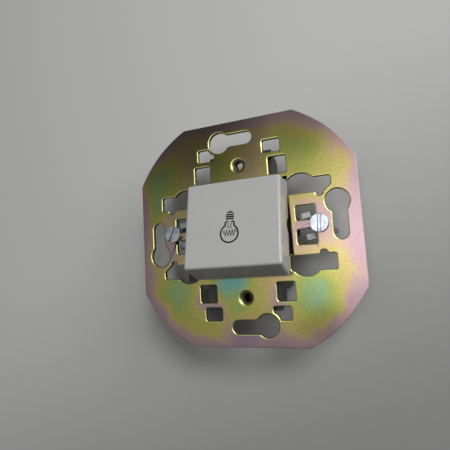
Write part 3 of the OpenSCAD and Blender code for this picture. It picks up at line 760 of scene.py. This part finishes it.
ZINC = PlatedMetal("bright_zinc")
DULL_ZINC = PlatedMetal("dull_zinc", (0.46, 0.48, 0.50), (0.30, 0.31, 0.33), 0.42)
SPRING_STEEL = PlatedMetal("spring_steel", (0.40, 0.41, 0.43), (0.28, 0.28, 0.30), 0.3, 0.3 * MM)
BRASS = PlatedMetal("brass", (0.72, 0.54, 0.24), (0.50, 0.36, 0.16), 0.3, 0.5 * MM)
SILVER = PlatedMetal("contact_silver", (0.84, 0.84, 0.82), (0.62, 0.60, 0.56), 0.22, 0.3 * MM)
KEY_PLASTIC = Moulding("key_plastic", (0.67, 0.67, 0.66), 0.18)
DARK_PLASTIC = Moulding("dark_plastic", (0.05, 0.05, 0.055), 0.42)
WHITE_PLASTIC = Moulding("white_plastic", (0.78, 0.76, 0.70), 0.4)
CHROMATE = YellowChromate()


@dataclass
class Coil:
    """A wire wound on a helix by geometry nodes: springs and the ridges of threads."""

    name: str
    foot: Vector
    radius: float
    wire: float
    height: float
    turns: float
    profile: Profile = Profile.ROUND_WIRE
    closed_turns: float = 1.0
    steps_per_turn: int = 24
    closed_pitch: float = 2.1

    def sizes(self) -> dict[str, float]:
        """Return the coil's sizes by the names of the winding tree's inputs."""
        return {
            "Mean Radius": self.radius,
            "Wire Radius": self.wire / 2,
            "Rise": self.height - self.wire,
            "Turns": self.turns,
            "Closed Turns": self.closed_turns,
        }

    def tree(self, material: bpy.types.Material) -> bpy.types.NodeTree:
        """Build the winding tree.

        Args:
            material: The wire's material.

        Returns:
            A geometry node group with the coil's sizes as named inputs.
        """
        group = bpy.data.node_groups.new(f"{self.name}_winding", "GeometryNodeTree")
        for label in self.sizes():
            group.interface.new_socket(label, in_out="INPUT", socket_type="NodeSocketFloat")
        group.interface.new_socket("Geometry", in_out="OUTPUT", socket_type="NodeSocketGeometry")
        tree = NodeTree(group)
        radius, wire, rise, turns, closed = (
            tree.add("NodeGroupInput", output=label) for label in self.sizes()
        )
        steps = int(self.turns * self.steps_per_turn)
        line = tree.add("GeometryNodeCurvePrimitiveLine", {}, {"End": (0.0, 0.0, 1.0)})
        line = tree.add("GeometryNodeResampleCurve", {}, {"Curve": line, "Count": steps + 1})
        along = tree.add("GeometryNodeSplineParameter", output="Factor")
        turn = along * turns
        angle = turn * (2 * math.pi)
        pitch = wire * self.closed_pitch
        start = turn.math("MINIMUM", closed)
        finish = (turn - (turns - closed)).math("MAXIMUM", 0.0)
        middle = turn - start - finish
        open_pitch = (rise - 2 * closed * pitch) / (turns - 2 * closed)
        level = wire + (start + finish) * pitch + middle * open_pitch
        spot = tree.add(
            "ShaderNodeCombineXYZ",
            {},
            {"X": radius * angle.math("COSINE"), "Y": radius * angle.math("SINE"), "Z": level},
        )
        path = tree.add("GeometryNodeSetPosition", {}, {"Geometry": line, "Position": spot})
        sides = self.profile.value
        values = {"Resolution": sides, "Radius": wire}
        ring = tree.add("GeometryNodeCurvePrimitiveCircle", {}, values)
        solid = tree.add(
            "GeometryNodeCurveToMesh",
            {},
            {"Curve": path, "Profile Curve": ring, "Fill Caps": True},
        )
        real = tree.add("GeometryNodeRealizeInstances", {}, {"Geometry": solid})
        dressed = tree.add("GeometryNodeSetMaterial", {}, {"Geometry": real, "Material": material})
        tree.add("NodeGroupOutput", {}, {"Geometry": dressed})
        return group

    def build(
        self, shop: Workshop, finish: Finish, body: str, replaced: Sequence[str], slot: str = ""
    ) -> None:
        """Wind the coil and place it.

        Args:
            shop: The workshop.
            finish: The wire's finish.
            body: The body that it rides on.
            replaced: Solids that it stands for.
            slot: Passed on to the workshop's place.
        """
        material = shop.finish(finish)
        carrier = bpy.data.objects.new(self.name, bpy.data.meshes.new(self.name))
        bpy.context.collection.objects.link(carrier)
        winding = carrier.modifiers.new("winding", "NODES")
        winding.node_group = self.tree(material)
        sizes = self.sizes()
        for item in winding.node_group.interface.items_tree:
            if item.in_out == "INPUT":
                winding[item.identifier] = sizes[item.name]
        piece = shop.plain(carrier, self.name)
        piece.data.transform(Matrix.Translation(self.foot))
        piece.data.shade_smooth()
        shop.place(piece, body, replaced, slot)


@dataclass
class PlateAssembly:
    """The support plate in its chromate finish, with the edges that punching draws in."""

    broken_edge: float = 0.06 * MM
    drawn_width: float = 0.36 * MM
    drawn_depth: float = 0.16 * MM
    # Share of the drawn depth and of the painted highlight along the plate's outer outline.
    outer_share: float = 0.2
    outer_flat: float = 35.6 * MM
    outer_corner: float = 40.1 * MM
    level_slack: float = 0.001 * MM
    longest_corner: float = 2.0

    def draw_edges(self, plate: bpy.types.Object) -> None:
        """Round the front outline of the plate and its holes, and mark it as edge, where the
        chromate finish paints a highlight.

        Args:
            plate: The merged copy of the plate.
        """
        shape = bmesh.new()
        shape.from_mesh(plate.data)
        shape.normal_update()
        # This layer sets both how far the outline is drawn in and where the chromate finish paints
        # its highlight.
        drawn_and_highlight_marks = shape.verts.layers.float.new("edge")
        level = max(v.co.z for v in shape.verts) - self.level_slack
        front = [f for f in shape.faces if all(v.co.z > level for v in f.verts)]
        made = bmesh.ops.inset_region(
            shape, faces=front, thickness=self.drawn_width, use_even_offset=True, use_boundary=True
        )
        strip = set(made["faces"])
        flat = strip | set(front)
        beside = {v: [f for f in v.link_faces if f not in flat] for f in strip for v in f.verts}
        for vertex, faces in beside.items():
            inner = [e for e in vertex.link_edges if not beside.get(e.other_vert(vertex), True)]
            inset = all(e.calc_length() < self.longest_corner * self.drawn_width for e in inner)
            if inset and faces and all(f.normal.z < 0.9 for f in faces):
                spot = vertex.co.xy
                outer = max(map(abs, spot)) > self.outer_flat or spot.length > self.outer_corner
                vertex[drawn_and_highlight_marks] = self.outer_share if outer else 1.0
        for vertex in shape.verts:
            vertex.co.z -= self.drawn_depth * vertex[drawn_and_highlight_marks]
        shape.to_mesh(plate.data)
        shape.free()

    def build(self, shop: Workshop) -> None:
        """Build the plate's visible piece."""
        plate = shop.merged_copy("mounting_plate", "support_plate")
        self.draw_edges(plate)
        shop.break_edges(plate, "mounting_plate", self.broken_edge, CHROMATE, "switch_frame")


@dataclass
class KeyAssembly:
    """The key, its pictogram and the rocker under it."""

    def build(self, shop: Workshop) -> None:
        """Dress the key's pieces."""
        shop.dress("key_cap", KEY_PLASTIC)
        shop.dress("lamp_symbol", Ink())
        shop.dress("key_carrier", DARK_PLASTIC)
        shop.dress("pivot_pin", ZINC)
        shop.dress("plunger", WHITE_PLASTIC)


@dataclass
class HousingAssembly:
    """The contact block: two mouldings, their screws, the contacts and the springs."""

    broken_edge: float = 0.2 * MM
    spring_turns: float = 8
    spring_wires: dict[str, float] = field(
        default_factory=lambda: {"return": 0.5 * MM, "contact": 0.35 * MM}
    )

    def spring(self, shop: Workshop, node: str, name: str, wire: float) -> None:
        """Wind a round spring in place of a solid.

        Args:
            shop: The workshop.
            node: The solid spring's name.
            name: Name of the wound piece.
            wire: Wire thickness in metres.
        """
        low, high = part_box(node)
        foot = Vector(((low[0] + high[0]) / 2, (low[1] + high[1]) / 2, low[2]))
        radius = (high[0] - low[0]) / 2 - wire / 2
        coil = Coil(name, foot, radius, wire, high[2] - low[2], self.spring_turns)
        coil.build(shop, SPRING_STEEL, "switch_frame", [node])

    def build(self, shop: Workshop) -> None:
        """Build and dress the housing's pieces."""
        for part in ("base", "cover"):
            node, name = f"housing_{part}", f"{part}_moulding"
            shop.soften(node, name, self.broken_edge, DARK_PLASTIC, "switch_frame")
        shop.dress("housing_screws", ZINC)
        for place in ("upper", "lower"):
            shop.dress(f"{place}_wire_clamp", ZINC)
            shop.dress(f"{place}_terminal_screw", ZINC)
        for node in ("common_terminal_bar", "fixed_terminal_bar", "contact_lever"):
            shop.dress(node, BRASS)
        for node in ("fixed_contact", "moving_contact"):
            shop.dress(node, SILVER)
        for kind, wire in self.spring_wires.items():
            self.spring(shop, f"{kind}_spring", f"wound_{kind}_spring", wire)


@dataclass
class ClawAssembly:
    """One side's spreading claw with its screw and nut."""

    side: Side
    broken_edge: float = 0.15 * MM
    thread_pitch: float = 0.5 * MM
    thread_crest: float = 1.5 * MM
    thread_ridge: float = 0.3 * MM
    thread_length: float = 13 * MM
    thread_start: float = 0.1 * MM

    def build(self, shop: Workshop) -> None:
        """Build the claw, the nut, the screw and its thread."""
        word = self.side.name.lower()
        for thing in ("claw", "claw_nut", "claw_screw"):
            node = f"{word}_{thing}"
            finish = ZINC if thing == "claw_screw" else DULL_ZINC
            shop.soften(node, f"{node}_piece", self.broken_edge, finish, node)
        low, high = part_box(f"{word}_claw_screw")
        middle = [(a + b) / 2 for a, b in zip(low, high)]
        coil = Coil(
            name=f"{word}_claw_screw_thread",
            foot=Vector((middle[0], middle[1], low[2] + self.thread_start)),
            radius=self.thread_crest - self.thread_ridge / 2,
            wire=self.thread_ridge,
            height=self.thread_length,
            turns=self.thread_length / self.thread_pitch,
            profile=Profile.THREAD_RIDGE,
            closed_turns=0.0,
            steps_per_turn=20,
        )
        coil.build(shop, ZINC, f"{word}_claw_screw", [], "zinc_steel")


@dataclass(frozen=True)
class Lamp:
    """A soft square lamp: where it hangs and its side in metres, and its power in watts."""

    name: str
    place: tuple[float, float, float]
    size: float
    power: float


@dataclass
class Studio:
    """The pale table, the soft light and the camera of the picture."""

    picture: int = 450
    focal_pixels: float = 381.8
    eye: Vector = field(default_factory=lambda: Vector((37.28, -11.74, 115.76)) * MM)
    aim: Vector = field(default_factory=lambda: Vector((-5.61, 2.28, 1.5)) * MM)
    roll: float = math.radians(3.47)
    table_size: float = 1.2
    lamps: tuple[Lamp, ...] = (
        Lamp("high_window", (0.34, 0.33, 0.64), 0.25, 2.1),
        Lamp("low_window", (0.66, 0.23, 0.42), 0.40, 1.6),
        Lamp("ceiling_light", (0.03, 0.05, 0.9), 0.24, 1.05),
        Lamp("far_ceiling_light", (-0.40, -0.05, 0.9), 0.45, 0.40),
    )
    room_colour: Colour = (0.60, 0.61, 0.62)
    room_strength: float = 0.035

    def table(self, shop: Workshop) -> None:
        """Lay the table under the part."""
        half = self.table_size / 2
        low = solid_bounds[0][2]
        corners = [(sx * half, sy * half, low) for sx, sy in ((-1, -1), (1, -1), (1, 1), (-1, 1))]
        mesh = bpy.data.meshes.new("table_top")
        mesh.from_pydata(corners, [], [(0, 1, 2, 3)])
        mesh.materials.append(shop.finish(TableTop()))
        top = bpy.data.objects.new("table_top", mesh)
        bpy.context.collection.objects.link(top)

    def hang(self, lamp: Lamp) -> None:
        """Hang a lamp, facing the part.

        Args:
            lamp: The lamp.
        """
        light = bpy.data.lights.new(lamp.name, "AREA")
        light.shape = "SQUARE"
        light.size = lamp.size
        light.energy = lamp.power
        thing = bpy.data.objects.new(lamp.name, light)
        thing.location = lamp.place
        thing.rotation_euler = (-Vector(lamp.place)).to_track_quat("-Z", "Y").to_euler()
        bpy.context.collection.objects.link(thing)

    def light(self) -> None:
        """Light the scene: two windows to the right, two ceiling lights and a dim room."""
        for lamp in self.lamps:
            self.hang(lamp)
        world = bpy.data.worlds.new("grey_room")
        world.use_nodes = True
        back = world.node_tree.nodes["Background"]
        back.inputs["Color"].default_value = (*self.room_colour, 1.0)
        back.inputs["Strength"].default_value = self.room_strength
        bpy.context.scene.world = world

    def camera(self) -> None:
        """Set the camera up where the picture was taken from."""
        data = bpy.data.cameras.new("picture_camera")
        data.sensor_fit = "HORIZONTAL"
        data.sensor_width = 36.0
        data.lens = self.focal_pixels / self.picture * data.sensor_width
        data.clip_start = 0.01
        forward = (self.aim - self.eye).normalized()
        right = forward.cross(Vector((0.0, 1.0, 0.0))).normalized()
        up = right.cross(forward)
        turned = Matrix.Rotation(self.roll, 3, forward)
        axes = Matrix((turned @ right, turned @ up, turned @ -forward)).transposed()
        camera = bpy.data.objects.new("picture_camera", data)
        camera.matrix_world = Matrix.Translation(self.eye) @ axes.to_4x4()
        bpy.context.collection.objects.link(camera)
        bpy.context.scene.camera = camera

    def build(self, shop: Workshop) -> None:
        """Build the table, the light and the camera."""
        self.camera()
        self.table(shop)
        self.light()
        bpy.context.scene.view_settings.view_transform = "Standard"


def main() -> None:
    """Build every sub-assembly, then the studio."""
    logging.basicConfig(level=logging.INFO, format="%(message)s")
    shop = Workshop()
    PlateAssembly().build(shop)
    KeyAssembly().build(shop)
    HousingAssembly().build(shop)
    for side in Side:
        ClawAssembly(side).build(shop)
    Studio().build(shop)


if __name__ == "__main__":
    main()
